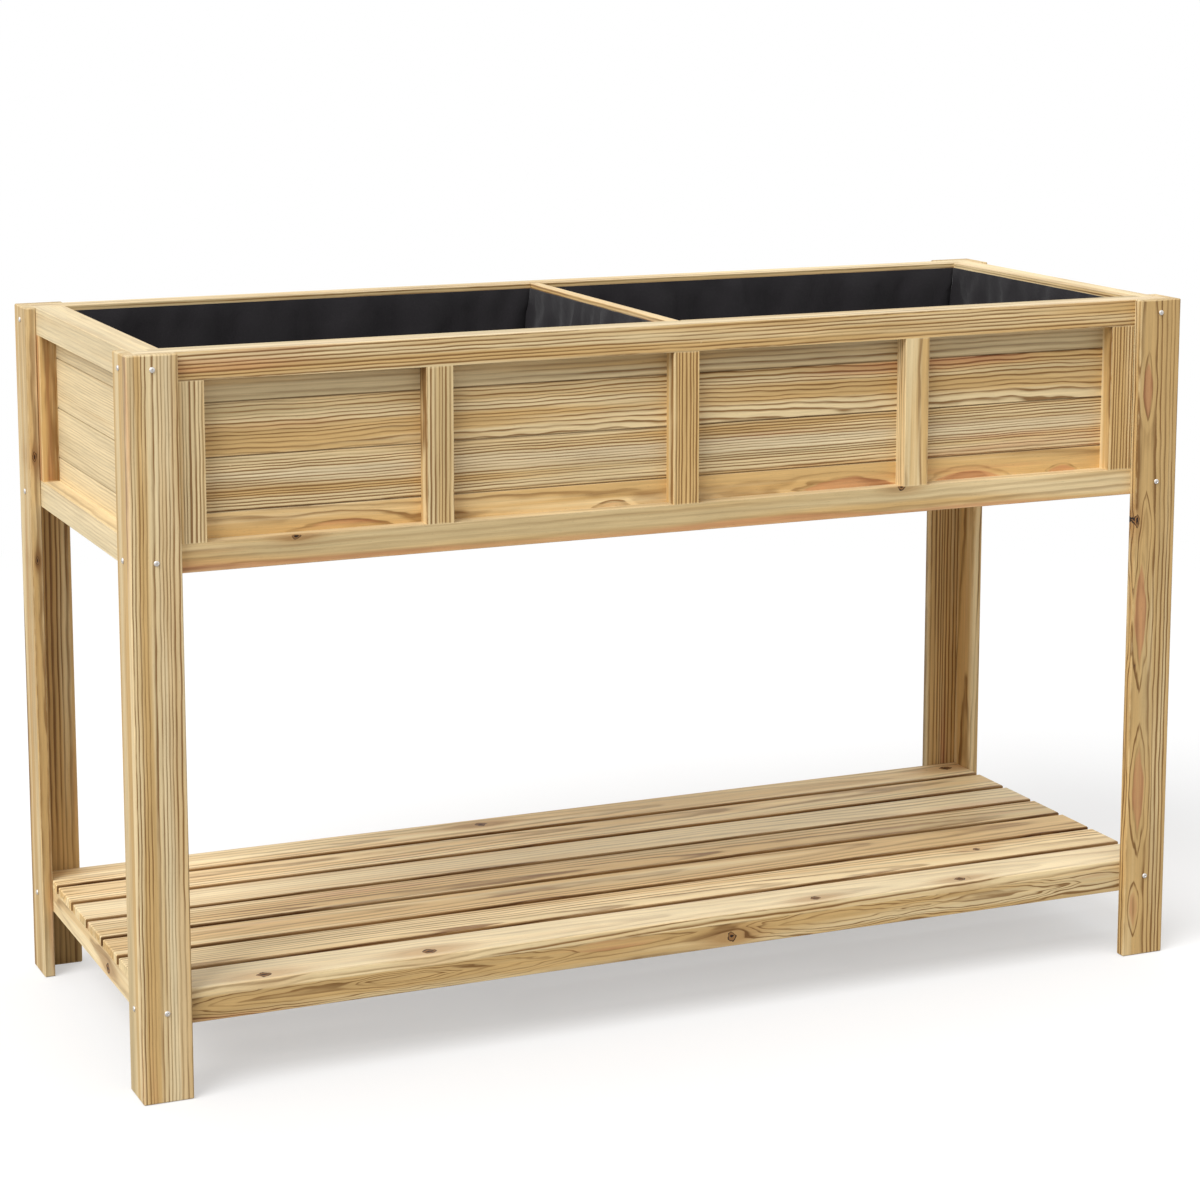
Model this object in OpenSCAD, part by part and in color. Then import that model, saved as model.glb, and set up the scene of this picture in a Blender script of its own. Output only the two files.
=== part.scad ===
// Elevated planter: a boarded box with a divider and two liners, carried
// on four corner posts, with a slatted shelf below. Millimetres, +Z up,
// +X along the length, origin on the floor under the middle of the box.

/* [Overall] */
// Length over the posts
length = 1200; // [900:10:1800]
// Depth over the posts, front to back
depth = 470; // [400:5:700]
// Height from the floor to the rim
height = 755; // [600:5:950]

/* [Corner posts] */
// Width of the post board that faces the front or the back
post_w = 52; // [46:1:80]
// Depth of a whole post, seen from the end
post_d = 50; // [46:1:80]
// Thickness of the post boards
post_t = 12; // [10:1:20]
// Flat taken off the outer arrises of the posts
post_arris = 1.2; // [0.4:0.2:3]

/* [Planter box] */
// Height of the boarded walls
box_h = 219; // [180:1:320]
// Width of the rails and stiles
batten_w = 29; // [24:1:45]
// Thickness of the rails and stiles
batten_t = 19; // [16:1:28]
// Flat taken off the outer arrises of the rails
batten_arris = 0.6; // [0.2:0.2:2]
// Thickness of the wall boards
board_t = 14; // [12:1:22]
// Boards stacked in each wall
boards_per_wall = 4; // [4]

/* [Tongue and groove] */
// Thickness of a tongue
tongue_t = 4; // [3:0.5:5]
// Length of a tongue
tongue_l = 5; // [3:0.5:8]
// Free room round a tongue in its groove
groove_clear = 0.3; // [0.1:0.1:0.8]
// Depth of the V cut along the face of each joint
v_joint = 1.2; // [0.5:0.1:2.5]

/* [Divider] */
// Thickness of the divider boards
divider_t = 14; // [12:1:20]
// Seam left between two of the divider boards
divider_seam = 0.1; // [0.05:0.05:0.5]
// How far the divider ends sit in the front and rear walls
housing_d = 4; // [2:0.5:6]
// Free room round the divider in its housings
housing_clear = 0.3; // [0.1:0.1:0.8]
// Rounding of the divider's top edge
divider_round = 2.5; // [1:0.5:4]

/* [Floor of the box] */
// Side of the square bearers under the floor
bearer_s = 20; // [16:1:30]
// Width of a floor slat
floor_slat_w = 75; // [50:1:110]
// Least drainage gap between floor slats
floor_gap = 10; // [5:1:20]
// Thickness of the floor slats
floor_t = 10; // [8:1:18]

/* [Shelf] */
// Height of the shelf's top above the ground
shelf_top = 111; // [80:1:200]
// Height of the rails that carry the shelf
shelf_rail_h = 26; // [20:1:40]
// Thickness of the rails that carry the shelf
shelf_rail_t = 19; // [16:1:28]
// Thickness of the shelf slats
slat_t = 10; // [8:1:18]
// Gap between two shelf slats
slat_gap = 9; // [4:1:16]
// Flat taken off the top arrises of the shelf slats
slat_arris = 1; // [0.4:0.2:2.5]
// Width of the bearers under the middle of the shelf
shelf_bearer_w = 29; // [20:1:45]

/* [Liner] */
// Thickness of the liner cloth
liner_t = 1.5; // [1:0.1:3]
// Distance from the rim down to the liner's top edge
liner_drop = 5; // [2:1:20]
// Free room between the liner and the wood
liner_clear = 0.3; // [0.2:0.1:1]
// Depth of the liner's upright folds
fold_d = 4; // [1:0.5:8]
// Spacing of the folds along a wall
fold_pitch = 92; // [60:1:160]

/* [Screws] */
// Diameter of a screw's shank
screw_d = 3.5; // [3:0.5:5]
// Length of a screw under its head
screw_l = 22; // [18:1:24]
// Diameter of a screw head
head_d = 6; // [5:0.5:9]
// Height of a screw head
head_h = 2; // [1.5:0.1:3]
// Free room round a shank in a post board
shank_clear = 0.25; // [0.1:0.05:0.6]
// Free room round a shank in the wood that it bites
pilot_clear = 0.05; // [0.02:0.01:0.2]
// Distance of the side screws from the inner face of their rail
side_screw_edge = 4; // [3:0.5:7]

/* [Hidden] */
$fn = 32;

// Wood and metal tones
post_tone = [0.82, 0.70, 0.50];
batten_tone = [0.80, 0.66, 0.46];
board_tone = [0.84, 0.72, 0.53];
slat_tone = [0.86, 0.75, 0.56];
floor_tone = [0.78, 0.66, 0.48];
liner_tone = [0.13, 0.12, 0.13];
zinc_tone = [0.78, 0.79, 0.80];

// Places worked out from the sizes above
half_l = length / 2;
half_d = depth / 2;
in_x = half_l - post_t;
in_y = half_d - post_t;
wall_t = batten_t + board_t;
cavity_x = in_x - wall_t;
cavity_y = in_y - wall_t;
box_z = height - box_h;
stile_z = box_z + batten_w;
stile_h = box_h - 2 * batten_w;
stile_count = 5;
span = length - 2 * post_w;

// Tongue and groove, across a board's thickness and up its height
board_pitch = box_h / boards_per_wall;
groove_d = tongue_l + groove_clear;
groove_w = tongue_t + 2 * groove_clear;
tongue_lead = 0.6;

// Floor of the box
floor_z = box_z + bearer_s;
floor_top = floor_z + floor_t;
floor_fit = 0.5;
floor_run = 2 * (cavity_x - floor_fit);
floor_side = floor((floor_run - floor_slat_w) / 2 / (floor_slat_w + floor_gap));
floor_count = 2 * floor_side + 1;
floor_pitch = (floor_run - floor_slat_w) / (floor_count - 1);

// Divider
divider_boards = 3;
divider_pitch = (height - floor_top + divider_seam) / divider_boards;
divider_board_h = divider_pitch - divider_seam;
divider_len = 2 * (cavity_y + housing_d - housing_clear);

// Shelf
slat_count = 7;
slat_z = shelf_top - slat_t;
shelf_rail_z = slat_z - shelf_rail_h;
slat_w = (2 * in_y - (slat_count - 1) * slat_gap) / slat_count;
shelf_end = in_y - shelf_rail_t;
shelf_bearer_x = length / 6;

// Screws: heights, then the side screws' distance from the post's face
rail_screw_z = batten_w / 2;
low_screw_z = shelf_top - (slat_t + shelf_rail_h) / 2;
box_side_y = post_t + batten_t - side_screw_edge;
shelf_side_y = post_t + shelf_rail_t - side_screw_edge;
screw_rows = [
  [low_screw_z, shelf_side_y],
  [box_z + rail_screw_z, box_side_y],
  [height - rail_screw_z, box_side_y]
];
pilot_spare = 1;
bite = screw_l - post_t + pilot_spare;
head_rim = 0.5;
tip_l = 4;
recess_w = 1.1;
recess_l = 0.55 * head_d;
recess_d = 1.1;
cut = 0.5;

// Liner
liner_x = cavity_x - divider_t / 2 - 2 * liner_clear;
liner_y = 2 * (cavity_y - liner_clear);
liner_z = floor_top + liner_clear;
liner_h = height - liner_drop - liner_z;
liner_corner = 14;
points_per_fold = 6;
// How far the folds stand out at each level, from the base to the top edge
fold_levels = [[0, 0.3], [0.35, 0.8], [0.75, 1], [1, 0.55]];

// Outline of a bar's section with a flat of its own on each corner,
// taken in turn from the corner at zero
function section(w, h, c) = concat(
  c[0] > 0 ? [[0, c[0]], [c[0], 0]] : [[0, 0]],
  c[1] > 0 ? [[w - c[1], 0], [w, c[1]]] : [[w, 0]],
  c[2] > 0 ? [[w, h - c[2]], [w - c[2], h]] : [[w, h]],
  c[3] > 0 ? [[c[3], h], [0, h - c[3]]] : [[0, h]]
);

// Section of a matched board: outer face at zero, height upwards
function matched(t, h, groove, tongue, v) = concat(
  groove
    ? [
        [v, 0],
        [(t - groove_w) / 2, 0],
        [(t - groove_w) / 2, groove_d],
        [(t + groove_w) / 2, groove_d],
        [(t + groove_w) / 2, 0],
        [t, 0]
      ]
    : [[0, 0], [t, 0]],
  tongue
    ? [
        [t, h],
        [(t + tongue_t) / 2, h],
        [(t + tongue_t) / 2, h + tongue_l - tongue_lead],
        [(t + tongue_t) / 2 - tongue_lead, h + tongue_l],
        [(t - tongue_t) / 2 + tongue_lead, h + tongue_l],
        [(t - tongue_t) / 2, h + tongue_l - tongue_lead],
        [(t - tongue_t) / 2, h],
        [v, h],
        [0, h - v]
      ]
    : [[t, h], [0, h]],
  groove ? [[0, v]] : []
);

// Bar along X, its section drawn in Y and Z
module bar_x(size, c) {
  rotate([90, 0, 90])
    linear_extrude(size.x)
      polygon(section(size.y, size.z, c));
}

// Bar along Y, its section drawn in X and Z
module bar_y(size, c) {
  translate([0, size.y, 0])
    rotate([90, 0, 0])
      linear_extrude(size.y)
        polygon(section(size.x, size.z, c));
}

// Bar along Z, its section drawn in X and Y
module bar_z(size, c) {
  linear_extrude(size.z)
    polygon(section(size.x, size.y, c));
}

// Both ends of the object from the piece at its left
module at_end(side) {
  mirror([side > 0 ? 1 : 0, 0, 0])
    children();
}

// Front and rear of the object from the piece at its front
module at_face(face) {
  mirror([0, face > 0 ? 1 : 0, 0])
    children();
}

// Cylinder from a point into the wood, along Y or along X
module bore_y(x, y, z, d, l) {
  translate([x, y - cut, z])
    rotate([-90, 0, 0])
      cylinder(d = d, h = l + cut);
}

module bore_x(x, y, z, d, l) {
  translate([x - cut, y, z])
    rotate([0, 90, 0])
      cylinder(d = d, h = l + cut);
}

// Corner posts

// Board of the front left post that faces the front
module post_face() {
  a = post_arris;
  size = [post_w, post_t, height];
  color(post_tone)
    translate([-half_l, -half_d, 0])
      difference() {
        intersection() {
          bar_z(size, [a, a, 0, 0]);
          bar_x(size, [a, 0, 0, a]);
          bar_y(size, [a, a, a, a]);
        }
        for (row = screw_rows)
          bore_y(post_w / 2, 0, row[0], screw_d + 2 * shank_clear, post_t + cut);
      }
}

// Board of the front left post that faces the end
module post_side() {
  a = post_arris;
  size = [post_t, post_d - post_t, height];
  color(post_tone)
    translate([-half_l, -half_d + post_t, 0])
      difference() {
        intersection() {
          bar_z(size, [0, 0, a, a]);
          bar_x(size, [0, a, a, 0]);
          bar_y(size, [a, 0, 0, a]);
        }
        for (row = screw_rows)
          bore_x(0, row[1] - post_t, row[0], screw_d + 2 * shank_clear, post_t + cut);
      }
}

// Walls of the box

// Pilot bores for the screws at both ends of a front rail
module rail_bores(z, side_y) {
  for (side = [-1, 1])
    at_end(side) {
      bore_y(-half_l + post_w / 2, -in_y, z, screw_d + 2 * pilot_clear, bite);
      bore_x(-in_x, -half_d + side_y, z, screw_d + 2 * pilot_clear, bite);
    }
}

module front_rail(z, arris) {
  color(batten_tone)
    difference() {
      translate([-in_x, -in_y, z])
        bar_x([2 * in_x, batten_t, batten_w], arris);
      rail_bores(z + rail_screw_z, box_side_y);
    }
}

module end_rail(z, arris) {
  color(batten_tone)
    translate([-in_x, -in_y + batten_t, z])
      bar_y([batten_t, 2 * (in_y - batten_t), batten_w], arris);
}

// The end stiles stand against the posts, and the others are centred on
// equal parts of the clear span
function stile_x(i) =
  i == 1 ? (batten_w - span) / 2
  : i == stile_count ? (span - batten_w) / 2
  : (i - (stile_count + 1) / 2) * span / (stile_count - 1);

module front_stile(i) {
  a = batten_arris;
  color(batten_tone)
    translate([stile_x(i) - batten_w / 2, -in_y, stile_z])
      bar_z([batten_w, batten_t, stile_h], [a, a, 0, 0]);
}

module end_stile() {
  a = batten_arris;
  color(batten_tone)
    translate([-in_x, -in_y + batten_t, stile_z])
      bar_z([batten_t, batten_w, stile_h], [0, 0, 0, a]);
}

// One matched board of a wall, counted from the bottom
module wall_section(i) {
  polygon(matched(board_t, board_pitch, i > 1, i < boards_per_wall, v_joint));
}

module front_board(i) {
  run = 2 * (in_x - batten_t);
  z = box_z + (i - 1) * board_pitch;
  color(board_tone)
    difference() {
      translate([-run / 2, -in_y + batten_t, z])
        rotate([90, 0, 90])
          linear_extrude(run)
            wall_section(i);
      divider_housing();
    }
}

module end_board(i) {
  z = box_z + (i - 1) * board_pitch;
  color(board_tone)
    translate([-in_x + batten_t, cavity_y, z])
      rotate([90, 0, 0])
        linear_extrude(2 * cavity_y)
          wall_section(i);
}

// Upright channel in the front wall that takes the divider's end
module divider_housing() {
  w = divider_t + 2 * housing_clear;
  translate([-w / 2, -cavity_y - housing_d, floor_top])
    cube([w, housing_d + cut, height - floor_top + cut]);
}

// Divider

// Section of the divider's top board, rounded over along the rim
module rounded_top() {
  r = divider_round;
  h = divider_board_h;
  intersection() {
    polygon(matched(divider_t, h, true, false, v_joint));
    union() {
      square([divider_t, h - r]);
      translate([r, 0])
        square([divider_t - 2 * r, h]);
      for (x = [r, divider_t - r])
        translate([x, h - r])
          circle(r);
    }
  }
}

module divider() {
  color(board_tone)
    for (i = [1:divider_boards])
      translate([-divider_t / 2, divider_len / 2, floor_top + (i - 1) * divider_pitch])
        rotate([90, 0, 0])
          linear_extrude(divider_len)
            if (i < divider_boards)
              polygon(matched(divider_t, divider_board_h, i > 1, true, v_joint));
            else
              rounded_top();
}

// Floor of the box

module floor_bearers() {
  color(floor_tone)
    for (y = [-cavity_y, -bearer_s / 2, cavity_y - bearer_s])
      translate([-cavity_x, y, box_z])
        cube([2 * cavity_x, bearer_s, bearer_s]);
}

module floor_slats() {
  run = 2 * (cavity_y - floor_fit);
  color(floor_tone)
    for (i = [0:floor_count - 1])
      translate([-floor_run / 2 + i * floor_pitch, -run / 2, floor_z])
        cube([floor_slat_w, run, floor_t]);
}

// Shelf

module shelf_front_rail() {
  a = batten_arris;
  color(batten_tone)
    difference() {
      translate([-in_x, -in_y, shelf_rail_z])
        bar_x([2 * in_x, shelf_rail_t, shelf_rail_h], [a, a, 0, 0]);
      rail_bores(low_screw_z, shelf_side_y);
    }
}

module shelf_end_rail() {
  a = batten_arris;
  color(batten_tone)
    translate([-in_x, -shelf_end, shelf_rail_z])
      bar_y([shelf_rail_t, 2 * shelf_end, shelf_rail_h], [a, a, 0, 0]);
}

module shelf_bearers() {
  color(batten_tone)
    for (side = [-1, 1])
      translate([side * shelf_bearer_x - shelf_bearer_w / 2, -shelf_end, shelf_rail_z])
        cube([shelf_bearer_w, 2 * shelf_end, shelf_rail_h]);
}

// One slat of the shelf, counted from the front
module shelf_slat(i) {
  a = slat_arris;
  size = [2 * in_x, slat_w, slat_t];
  color(slat_tone)
    translate([-in_x, -in_y + (i - 1) * (slat_w + slat_gap), slat_z])
      intersection() {
        bar_x(size, [0, 0, a, a]);
        bar_y(size, [0, 0, a, a]);
      }
}

// Liner: a hung bag of cloth, stapled along its top edge, with upright folds

function fold(u, amp) = fold_d * amp * (1 - cos(360 * u)) / 2;

// Points along one side and round the corner after it; the ring runs
// inset inside the bag's outline
function side_ring(start, dir, norm, len, inset, amp) =
  let (
    run = len - 2 * liner_corner,
    folds = max(1, round(run / fold_pitch)),
    steps = folds * points_per_fold,
    first = start + dir * liner_corner,
    hub = start + dir * (len - liner_corner) + norm * liner_corner
  )
  concat(
    [
      for (j = [0:steps])
        first + dir * run * j / steps + norm * (inset + fold(j / points_per_fold, amp))
    ],
    [
      for (a = [30, 60])
        hub + (dir * sin(a) - norm * cos(a)) * (liner_corner - inset)
    ]
  );

function bag_ring(inset, amp, z) = [
  for (
    p = concat(
      side_ring([0, 0], [1, 0], [0, 1], liner_x, inset, amp),
      side_ring([liner_x, 0], [0, 1], [-1, 0], liner_y, inset, amp),
      side_ring([liner_x, liner_y], [-1, 0], [0, -1], liner_x, inset, amp),
      side_ring([0, liner_y], [0, -1], [1, 0], liner_y, inset, amp)
    )
  )
    [p.x, p.y, z]
];

// Triangles of the band between ring a and ring b of n points
function band(a, b, n) = [
  for (j = [0:n - 1], half = [0, 1])
    let (k = (j + 1) % n)
    half == 0
      ? [a * n + j, b * n + j, b * n + k]
      : [a * n + j, b * n + k, a * n + k]
];

module bag() {
  levels = len(fold_levels);
  outer = [for (f = fold_levels) bag_ring(0, f[1], f[0] * liner_h)];
  inner = [
    for (i = [levels - 1:-1:0])
      bag_ring(
        liner_t,
        fold_levels[i][1],
        liner_t + fold_levels[i][0] * (liner_h - liner_t)
      )
  ];
  rings = concat(outer, inner);
  n = len(rings[0]);
  last = len(rings) - 1;
  middle = [liner_x / 2, liner_y / 2, 0];
  points = concat(
    [for (r = rings, p = r) p],
    [middle, middle + [0, 0, liner_t]]
  );
  hub = len(points) - 2;
  faces = concat(
    [for (i = [0:last - 1], t = band(i, i + 1, n)) t],
    [for (j = [0:n - 1]) [j, (j + 1) % n, hub]],
    [for (j = [0:n - 1]) [last * n + (j + 1) % n, last * n + j, hub + 1]]
  );
  polyhedron(points, faces);
}

module liner() {
  color(liner_tone)
    translate([-cavity_x + liner_clear, -liner_y / 2, liner_z])
      bag();
}

// Screws

// Pan head screw along +Z, its head below zero
module screw() {
  crown = head_h - head_rim;
  r = (pow(head_d / 2, 2) + pow(crown, 2)) / (2 * crown);
  difference() {
    intersection() {
      translate([0, 0, r - head_h])
        sphere(r);
      translate([0, 0, -head_h])
        cylinder(d = head_d, h = head_h);
    }
    for (turn = [0, 90])
      rotate([0, 0, turn])
        translate([-recess_l / 2, -recess_w / 2, -head_h - cut])
          cube([recess_l, recess_w, recess_d + cut]);
  }
  cylinder(d = screw_d, h = screw_l - tip_l);
  translate([0, 0, screw_l - tip_l])
    cylinder(d1 = screw_d, d2 = 0, h = tip_l);
}

module post_screws() {
  color(zinc_tone)
    for (side = [-1, 1], face = [-1, 1], row = screw_rows)
      at_end(side)
        at_face(face) {
          translate([-half_l + post_w / 2, -half_d, row[0]])
            rotate([-90, 0, 0])
              screw();
          translate([-half_l, -half_d + row[1], row[0]])
            rotate([0, 90, 0])
              screw();
        }
}

top_arris = [0, 0, 0, batten_arris];
bottom_arris = [batten_arris, 0, 0, 0];

for (s = [["left", -1], ["right", 1]], f = [["front", -1], ["rear", 1]]) {
  at_end(s[1]) at_face(f[1]) post_face();
  at_end(s[1]) at_face(f[1]) post_side();
  at_end(s[1]) at_face(f[1]) end_stile();
}

for (f = [["front", -1], ["rear", 1]]) {
  at_face(f[1]) front_rail(height - batten_w, top_arris);
  at_face(f[1]) front_rail(box_z, bottom_arris);
  at_face(f[1]) shelf_front_rail();
  for (i = [1:boards_per_wall])
    at_face(f[1]) front_board(i);
}

for (s = [["left", -1], ["right", 1]]) {
  at_end(s[1]) end_rail(height - batten_w, top_arris);
  at_end(s[1]) end_rail(box_z, bottom_arris);
  at_end(s[1]) shelf_end_rail();
  at_end(s[1]) liner();
  for (i = [1:boards_per_wall])
    at_end(s[1]) end_board(i);
}

for (i = [1:stile_count])
  front_stile(i);
for (i = [1:stile_count])  // rear_stiles
    at_face(1) front_stile(i);

divider();
floor_bearers();
floor_slats();
shelf_bearers();
for (i = [1:slat_count])
  shelf_slat(i);
post_screws();
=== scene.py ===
import math
import random

import bmesh
import bpy
from mathutils import Matrix, Vector


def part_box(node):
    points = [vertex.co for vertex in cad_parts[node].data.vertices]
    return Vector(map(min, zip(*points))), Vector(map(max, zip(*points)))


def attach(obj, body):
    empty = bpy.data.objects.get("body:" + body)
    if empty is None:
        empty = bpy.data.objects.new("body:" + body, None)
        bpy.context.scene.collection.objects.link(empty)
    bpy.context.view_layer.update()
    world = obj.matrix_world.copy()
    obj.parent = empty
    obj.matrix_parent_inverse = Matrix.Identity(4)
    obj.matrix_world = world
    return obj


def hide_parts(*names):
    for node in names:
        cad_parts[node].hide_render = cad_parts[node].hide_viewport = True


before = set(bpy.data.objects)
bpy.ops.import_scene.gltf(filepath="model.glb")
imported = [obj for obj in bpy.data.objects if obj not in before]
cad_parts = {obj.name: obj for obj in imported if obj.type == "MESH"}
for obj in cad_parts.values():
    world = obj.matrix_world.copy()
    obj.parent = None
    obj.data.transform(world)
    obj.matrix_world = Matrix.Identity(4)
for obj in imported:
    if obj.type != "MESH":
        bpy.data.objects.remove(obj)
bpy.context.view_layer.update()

bl_info = {
    "name": "Elevated planter",
    "version": (1, 0, 0),
    "blender": (4, 5, 0),
    "location": "3D View > Sidebar > Planter",
    "description": "Dresses the planter's frame with solid fir, liner cloth and zinc screws",
    "category": "Object",
}

MM = 0.001


# Sizes and colours that a user would change


def tint(name, description, default):
    return bpy.props.FloatVectorProperty(
        name=name, description=description, default=default, subtype="COLOR_GAMMA", min=0, max=1
    )


def amount(name, description, default, low, high, **kind):
    return bpy.props.FloatProperty(
        name=name, description=description, default=default, min=low, max=high, **kind
    )


def span(name, description, default, low, high):
    """A length, written in millimetres."""
    return amount(name, description, default * MM, low * MM, high * MM, unit="LENGTH")


def angle(name, description, default):
    """An angle, written in degrees."""
    default = math.radians(default)
    return amount(name, description, default, -math.pi, math.pi, subtype="ANGLE")


class PlanterWood(bpy.types.PropertyGroup):
    """Colours and grain of the fir"""

    straw: tint("Straw", "Colour of the palest wood", (0.920, 0.825, 0.635))
    tan: tint("Tan", "Colour of the warm bands between pale ones", (0.835, 0.690, 0.455))
    sage: tint("Sage", "Colour of the greyish bands", (0.805, 0.720, 0.540))
    # painted highlight colour: upward faces and the lit left boards are paled towards it; the pale
    # patches on some boards are the wood's own
    bleached: tint("Pale_and_highlight", "Colour that faces turned to the sky dry to", (0.930, 0.870, 0.730))
    rose: tint("Rose", "Colour of the reddish heartwood", (0.795, 0.565, 0.385))
    line: tint("Line", "Colour of the dark part of a year ring", (0.515, 0.360, 0.172))
    red_line: tint("Red line", "Colour of the ring lines in the heartwood", (0.510, 0.295, 0.155))
    knot: tint("Knot", "Colour of a knot's wood", (0.560, 0.400, 0.230))
    bark: tint("Bark", "Colour of the dark rim round a knot", (0.150, 0.090, 0.055))
    relief: amount(
        "Grain relief", "How strongly the grain stands out", 0.35, 0, 1, subtype="FACTOR"
    )


class PlanterLiner(bpy.types.PropertyGroup):
    """Colour and folds of the liner cloth"""

    cloth: tint("Cloth", "Colour of the liner cloth", (0.135, 0.125, 0.135))
    thickness: span("Thickness", "Thickness of the liner cloth", 1.1, 0.3, 3)
    mesh_step: span("Mesh step", "Distance between the cloth's points", 9, 4, 20)
    fold_depth: span("Fold depth", "How far the upright folds stand in from the boards", 4.5, 0, 10)
    fold_pitch: span("Fold pitch", "Distance from one upright fold to the next", 92, 40, 200)
    hem: span("Hem", "Depth of the hem turned in along the top edge", 16, 5, 30)


class PlanterScrews(bpy.types.PropertyGroup):
    """Sizes and colour of the pan head screws"""

    zinc: tint("Zinc", "Colour of the zinc plating", (0.90, 0.885, 0.865))
    head_width: span("Head width", "Width of a screw head", 5.9, 4, 12)
    head_height: span("Head height", "Height of a screw head", 1.9, 1, 1.95)
    shank_width: span("Shank width", "Width of the shank between the threads", 2.6, 1.5, 4)
    thread_width: span("Thread width", "Width over the threads", 3.5, 2, 5)
    length: span("Length", "Length of a screw under its head", 22, 12, 24)


class PlanterStage(bpy.types.PropertyGroup):
    """Camera, lamps and floor"""

    place: bpy.props.FloatVectorProperty(
        name="Camera place",
        description="Where the camera stands",
        default=(-1.34839, -3.10227, 1.1535),
        subtype="TRANSLATION",
        unit="LENGTH",
    )
    turn: angle("Camera turn", "Turn of the camera from straight ahead to the right", 23.461)
    dip: angle("Camera dip", "How far the camera looks down", 9.375)
    lens: amount("Lens", "Focal length in millimetres", 92.49, 20, 200, unit="CAMERA")
    shift: amount("Shift", "Upright shift of the lens", -0.13, -0.5, 0.5)
    sun: amount("Key light", "Strength of the key light from the upper left", 2.3, 0, 10)
    sky: amount("Sky light", "Strength of the light from all round", 0.74, 0, 2)
    floor: tint("Floor", "Colour of the floor", (0.97, 0.97, 0.97))
    bounce: tint("Bounce", "Colour of the light that the floor throws back", (0.72, 0.72, 0.72))


def linear(colour):
    """A picked colour as the value that a shader needs."""
    return tuple(
        c / 12.92 if c <= 0.04045 else ((c + 0.055) / 1.055) ** 2.4 for c in colour
    ) + (1.0,)


# Shader trees


class Wiring:
    """Adds nodes to one shader tree and joins them."""

    def __init__(self, tree):
        self.tree = tree

    def add(self, kind, **settings):
        node = self.tree.nodes.new("ShaderNode" + kind)
        for name, value in settings.items():
            setattr(node, name, value)
        return node

    def feed(self, socket, value):
        if isinstance(value, bpy.types.NodeSocket):
            self.tree.links.new(value, socket)
        else:
            socket.default_value = value

    def fill(self, node, values):
        for name, value in values.items():
            self.feed(node.inputs[name], value)
        return node.outputs

    def feed_all(self, node, values):
        for socket, value in zip(node.inputs, values):
            self.feed(socket, value)
        return node

    def math(self, operation, *values, clamp=False):
        node = self.add("Math", operation=operation, use_clamp=clamp)
        return self.feed_all(node, values).outputs[0]

    def plus(self, first, second):
        return self.math("ADD", first, second)

    def minus(self, first, second):
        return self.math("SUBTRACT", first, second)

    def times(self, first, second):
        return self.math("MULTIPLY", first, second)

    def over(self, first, second):
        return self.math("DIVIDE", first, second)

    def spread(self, value, scale, base):
        return self.math("MULTIPLY_ADD", value, scale, base)

    def size(self, value):
        """The value without its sign."""
        return self.math("ABSOLUTE", value)

    def larger(self, first, second):
        return self.math("MAXIMUM", first, second)

    def vector(self, operation, *values):
        node = self.add("VectorMath", operation=operation)
        self.feed_all(node, values)
        scalar = operation in ("LENGTH", "DOT_PRODUCT")
        return node.outputs["Value" if scalar else "Vector"]

    def scaled(self, vector, factor):
        node = self.add("VectorMath", operation="SCALE")
        self.feed(node.inputs[0], vector)
        self.feed(node.inputs["Scale"], factor)
        return node.outputs["Vector"]

    def split(self, vector):
        return self.feed_all(self.add("SeparateXYZ"), (vector,)).outputs

    def join(self, *values):
        return self.feed_all(self.add("CombineXYZ"), values).outputs[0]

    def noise(self, vector, stretch, detail=2.0, rough=0.5, colour=False):
        """Noise with so many waves a metre along each axis."""
        place = self.vector("MULTIPLY", vector, stretch)
        values = {"Vector": place, "Scale": 1.0, "Detail": detail, "Roughness": rough}
        return self.fill(self.add("TexNoise"), values)["Color" if colour else "Fac"]

    def drift(self, vector, stretch, reach, detail=1.0):
        """Noise in three directions about nought, times one reach or one for each."""
        noise = self.noise(vector, stretch, detail, colour=True)
        centred = self.vector("SUBTRACT", noise, (0.5, 0.5, 0.5))
        if isinstance(reach, tuple):
            return self.vector("MULTIPLY", centred, reach)
        return self.scaled(centred, reach)

    def luck(self, value):
        """A random value and colour for each whole number."""
        return self.fill(self.add("TexWhiteNoise", noise_dimensions="1D"), {"W": value})

    def step(self, value, low, high, base=0.0, top=1.0):
        node = self.add("MapRange", interpolation_type="SMOOTHSTEP")
        return self.feed_all(node, (value, low, high, base, top)).outputs[0]

    def mix(self, share, first, second, kind="MIX"):
        node = self.add("Mix", data_type="RGBA", blend_type=kind)
        self.feed(node.inputs[0], share)
        self.feed(node.inputs[6], first)
        self.feed(node.inputs[7], second)
        return node.outputs[2]

    def bump(self, height, strength, distance):
        """The bent normals of a relief that is so many millimetres high."""
        node = self.add("Bump")
        self.fill(node, {"Strength": strength, "Distance": distance * MM, "Height": height})
        return node.outputs[0]

    def ramp(self, value, stops):
        node = self.add("ValToRGB")
        marks = node.color_ramp.elements
        while len(marks) < len(stops):
            marks.new(1.0)
        for mark, (place, shade) in zip(marks, stops):
            mark.position = place
            mark.color = shade if isinstance(shade, tuple) else (shade,) * 3 + (1.0,)
        self.feed(node.inputs[0], value)
        return node.outputs[0]


def new_group(name, inputs, outputs):
    """A tree whose sockets are given as {kind: "their names"}, its inputs and its last node."""
    tree = bpy.data.node_groups.new(name, "ShaderNodeTree")
    for in_out, sockets in (("INPUT", inputs), ("OUTPUT", outputs)):
        for kind, names in sockets.items():
            for socket in names.split():
                tree.interface.new_socket(
                    name=socket, in_out=in_out, socket_type="NodeSocket" + kind
                )
    source = tree.nodes.new("NodeGroupInput").outputs
    result = tree.nodes.new("NodeGroupOutput")
    return Wiring(tree), source, result


def new_material(name):
    material = bpy.data.materials.new(name)
    material.use_nodes = True
    wiring = Wiring(material.node_tree)
    shader = material.node_tree.nodes["Principled BSDF"]
    return material, wiring, shader


# Fir


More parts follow.
